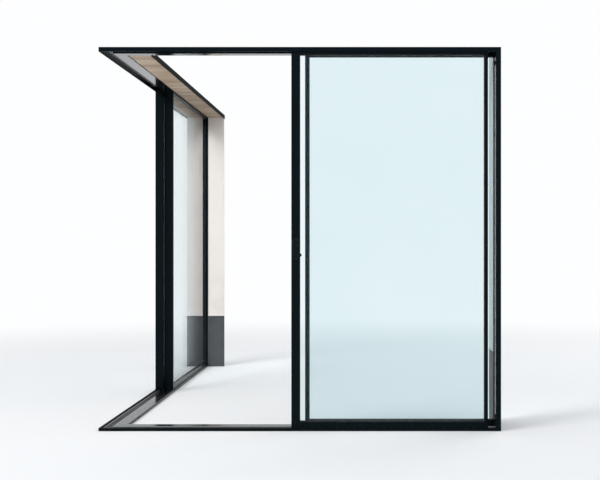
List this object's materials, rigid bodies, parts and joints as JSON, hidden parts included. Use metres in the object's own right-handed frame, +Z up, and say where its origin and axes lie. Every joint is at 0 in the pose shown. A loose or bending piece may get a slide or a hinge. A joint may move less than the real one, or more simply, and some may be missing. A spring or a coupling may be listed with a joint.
{
  "type": "corner sliding glass door",
  "caption": "Corner sliding glass door, black slim frames, L-shaped in plan with a post-free corner that opens, fixed leaves beyond, painted outer reveals and a timber-lined outer soffit along one run",
  "frame": {"origin": "the room-side corner of the frame at floor level, under the mitre of the sill", "axes": "+X along the back run, +Y along the side run, +Z up; the room lies at negative X and at negative Y, the terrace beyond both runs"},
  "size_m": [2.62, 3.869, 2.5],
  "materials": {
    "black_frame": "semi-gloss powder coat",
    "clear_glass": "clear",
    "spacer_black": "matt",
    "stainless": "brushed",
    "soffit_timber": "oiled boards",
    "painted_board": "painted, satin",
    "grey_base": "painted, matt"
  },
  "bodies": {
    "frame": {"back_fixed_glass": "clear_glass", "back_fixed_rail_bottom": "black_frame", "back_fixed_rail_top": "black_frame", "back_fixed_spacer": "spacer_black", "back_fixed_stile_far": "black_frame", "back_fixed_stile_near": "black_frame", "edge_trim": "black_frame", "head_back": "black_frame", "head_side": "black_frame", "jamb_far": "black_frame", "jamb_right": "black_frame", "reveal": "painted_board", "reveal_base": "grey_base", "reveal_right": "painted_board", "reveal_right_base": "grey_base", "running_rails": "stainless", "side_fixed_glass": "clear_glass", "side_fixed_rail_bottom": "black_frame", "side_fixed_rail_top": "black_frame", "side_fixed_spacer": "spacer_black", "side_fixed_stile_far": "black_frame", "side_fixed_stile_near": "black_frame", "sill_back": "black_frame", "sill_side": "black_frame", "soffit": "soffit_timber", "track_infills": "black_frame"},
    "back_leaf": {"back_handle": "black_frame", "back_lock_button": "stainless", "back_pull_strip": "black_frame", "back_rollers": "stainless", "back_sliding_glass": "clear_glass", "back_sliding_rail_bottom": "black_frame", "back_sliding_rail_top": "black_frame", "back_sliding_spacer": "spacer_black", "back_sliding_stile_far": "black_frame", "back_sliding_stile_near": "black_frame", "back_thumbturn": "black_frame"},
    "side_leaf": {"side_rollers": "stainless", "side_sliding_glass": "clear_glass", "side_sliding_rail_bottom": "black_frame", "side_sliding_rail_top": "black_frame", "side_sliding_spacer": "spacer_black", "side_sliding_stile_far": "black_frame", "side_sliding_stile_near": "black_frame"}
  },
  "joints": [
    {"name": "back_slide", "type": "slide", "parent": "frame", "child": "back_leaf", "axis": [1, 0, 0], "range_m": [-1.176, 0.045]},
    {"name": "side_slide", "type": "slide", "parent": "frame", "child": "side_leaf", "axis": [0, 1, 0], "range_m": [-1.852, 0]}
  ]
}
